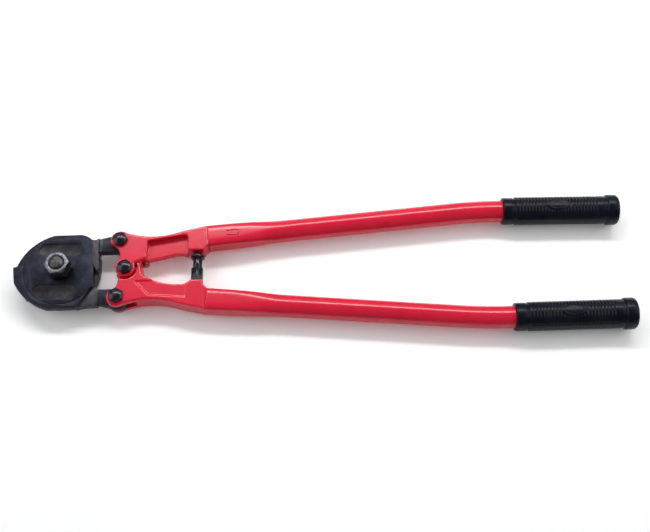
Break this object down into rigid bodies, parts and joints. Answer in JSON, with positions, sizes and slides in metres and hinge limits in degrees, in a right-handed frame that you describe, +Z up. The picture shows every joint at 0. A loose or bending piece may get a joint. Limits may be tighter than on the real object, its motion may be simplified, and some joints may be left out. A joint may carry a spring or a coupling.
{
  "type": "bolt cutters",
  "caption": "Long-handled wire rope and bolt cutters with a rounded steel head, forged red arms on a compound linkage, red tube handles and black ribbed grips.",
  "frame": {"origin": "centre of the tool's outline on the surface it lies on", "axes": "+X from the jaws to the grips, +Y towards the upper handle, +Z up through the front face of the jaws"},
  "size_m": [0.5968, 0.1428, 0.041],
  "materials": {
    "head_steel": "black oxide, satin",
    "nut_steel": "plain machined steel",
    "black_fastener": "black oxide, slightly glossy",
    "red_enamel": "gloss enamel",
    "hidden_steel": "ground steel",
    "black_vinyl": "dipped vinyl, glossy"
  },
  "bodies": {
    "lower_jaw": {"lower_jaw": "head_steel", "jaw_pivot_bolt": "nut_steel", "jaw_pivot_bush": "hidden_steel", "jaw_pivot_washer": "nut_steel", "jaw_lock_nut": "black_fastener", "jaw_pivot_nut": "nut_steel", "lower_tang_bush": "hidden_steel"},
    "upper_jaw": {"upper_jaw": "head_steel", "upper_tang_bush": "hidden_steel"},
    "upper_handle": {"upper_casting": "red_enamel", "upper_tube": "red_enamel", "upper_tube_pins": "hidden_steel", "upper_grip": "black_vinyl", "upper_link_bolt": "black_fastener", "upper_link_nut": "black_fastener", "centre_link_bolt": "black_fastener", "centre_link_nut": "black_fastener", "upper_link_washers": "black_fastener", "adjusting_screw": "red_enamel"},
    "lower_handle": {"lower_casting": "red_enamel", "lower_tube": "red_enamel", "lower_tube_pins": "hidden_steel", "lower_grip": "black_vinyl", "lower_link_bolt": "black_fastener", "lower_link_nut": "black_fastener", "lower_link_washer": "black_fastener", "stop_bolt": "black_fastener", "stop_nut": "black_fastener"}
  },
  "joints": [
    {"name": "lower_handle_hinge", "type": "hinge", "parent": "lower_jaw", "child": "lower_handle", "pos_m": [-0.19653, -0.0299, 0.01525], "axis": [0, 0, -1], "range_deg": [0, 52.75]},
    {"name": "jaw_hinge", "type": "hinge", "parent": "lower_jaw", "child": "upper_jaw", "pos_m": [-0.25213, 0, 0.01525], "axis": [0, 0, -1], "range_deg": [0, 21.52]},
    {"name": "upper_handle_hinge", "type": "hinge", "parent": "upper_jaw", "child": "upper_handle", "pos_m": [-0.19653, 0.0299, 0.01525], "axis": [0, 0, 1], "range_deg": [0, 52.77]}
  ],
  "couplings": [
    {"joint": "jaw_hinge", "follows": "lower_handle_hinge", "ratio": 0.40764},
    {"joint": "upper_handle_hinge", "follows": "lower_handle_hinge", "ratio": 1}
  ]
}
